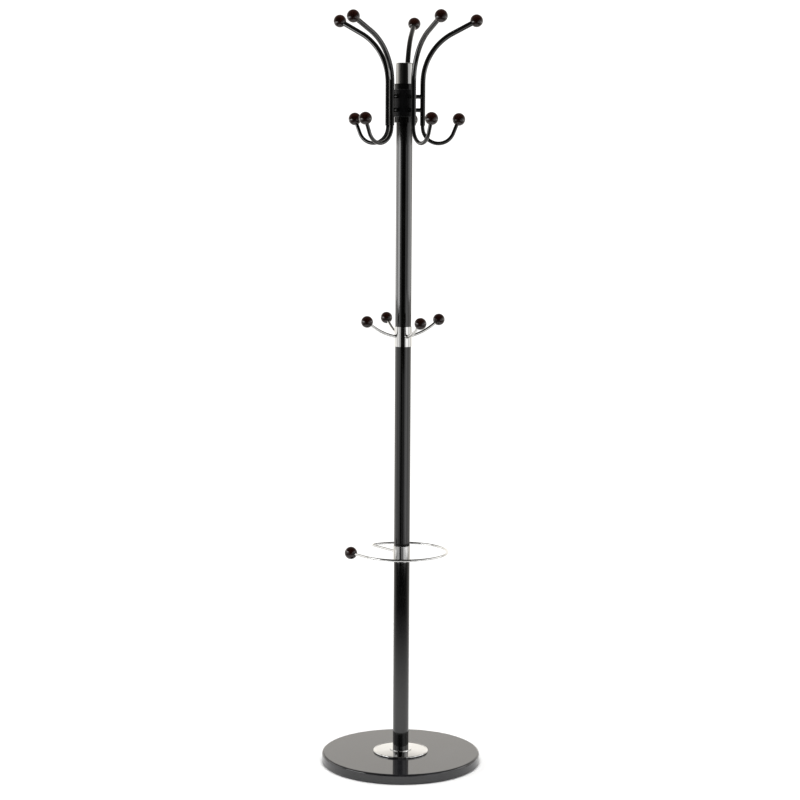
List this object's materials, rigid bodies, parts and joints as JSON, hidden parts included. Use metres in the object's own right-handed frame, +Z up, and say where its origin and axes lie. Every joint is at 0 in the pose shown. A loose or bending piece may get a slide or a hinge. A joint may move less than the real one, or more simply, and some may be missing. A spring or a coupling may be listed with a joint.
{
  "type": "standing coat rack",
  "caption": "Free-standing coat rack: round stone base, slim pole with an open umbrella ring and short hooks, and a revolving head of double hooks with round knobs.",
  "frame": {"origin": "centre of the underside, on the floor, on the pole's axis", "axes": "+Z up the pole, -Y towards the front, +X to the right seen from the front"},
  "size_m": [0.38, 0.38, 1.7808],
  "materials": {
    "black_stone": "polished",
    "black_paint": "gloss black enamel",
    "chrome": "mirror plated",
    "dark_wood": "dark mahogany stain under gloss lacquer",
    "black_plastic": "matt moulded",
    "nylon": "black nylon, satin",
    "zinc_steel": "zinc plated",
    "rubber": "matt"
  },
  "bodies": {
    "stand": {"base_slab": "black_stone", "base_feet": "rubber", "base_flange": "chrome", "base_bolt": "zinc_steel", "base_washer": "zinc_steel", "foot_insert": "zinc_steel", "lower_tube": "black_paint", "middle_tube": "black_paint", "upper_tube": "black_paint", "tube_inserts": "zinc_steel", "joint_studs": "zinc_steel", "pole_cap": "chrome", "umbrella_collar": "chrome", "umbrella_ring": "chrome", "umbrella_knob": "dark_wood", "hook_collar": "chrome", "short_hook_1": "chrome", "short_hook_2": "chrome", "short_hook_3": "chrome", "short_hook_4": "chrome", "short_knob_1": "dark_wood", "short_knob_2": "dark_wood", "short_knob_3": "dark_wood", "short_knob_4": "dark_wood", "support_ring": "black_paint", "stop_ring": "black_paint", "ring_screws": "zinc_steel"},
    "head": {"lower_bush": "nylon", "upper_bush": "nylon", "head_hub": "black_plastic", "arm_stubs": "black_paint", "arm_screws": "zinc_steel", "arm_1": "black_paint", "arm_2": "black_paint", "arm_3": "black_paint", "arm_4": "black_paint", "arm_5": "black_paint", "lower_hook_1": "black_paint", "lower_hook_2": "black_paint", "lower_hook_3": "black_paint", "lower_hook_4": "black_paint", "lower_hook_5": "black_paint", "upper_knob_1": "dark_wood", "upper_knob_2": "dark_wood", "upper_knob_3": "dark_wood", "upper_knob_4": "dark_wood", "upper_knob_5": "dark_wood", "lower_knob_1": "dark_wood", "lower_knob_2": "dark_wood", "lower_knob_3": "dark_wood", "lower_knob_4": "dark_wood", "lower_knob_5": "dark_wood"}
  },
  "joints": [
    {"name": "head_turn", "type": "hinge", "parent": "stand", "child": "head", "pos_m": [0, 0, 1.574], "axis": [0, 0, 1], "continuous": true}
  ]
}
